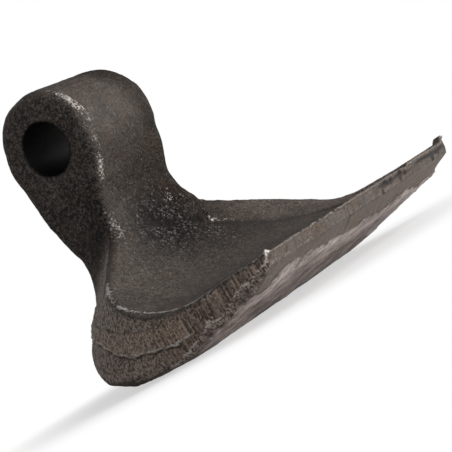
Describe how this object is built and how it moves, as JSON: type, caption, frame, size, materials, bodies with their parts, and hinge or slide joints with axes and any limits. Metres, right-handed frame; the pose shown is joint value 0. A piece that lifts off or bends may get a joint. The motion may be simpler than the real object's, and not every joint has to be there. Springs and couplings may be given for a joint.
{
  "type": "shredder hammer",
  "caption": "Forged hammer with a cross bore in a round eye, a short tapered shank and a wide scooped hoe-shaped blade.",
  "frame": {"origin": "centre of the bore, in the middle of the hammer's width", "axes": "+X along the bore, which is also the blade's width; -Y towards the cutting edge; +Z from the blade up to the eye"},
  "size_m": [0.1272, 0.0943, 0.092],
  "materials": {
    "forged_steel": "forged steel with dark brown-grey scale, rough, worn lighter on the rims"
  },
  "bodies": {
    "root": {"hammer_forging": "forged_steel"}
  },
  "joints": []
}
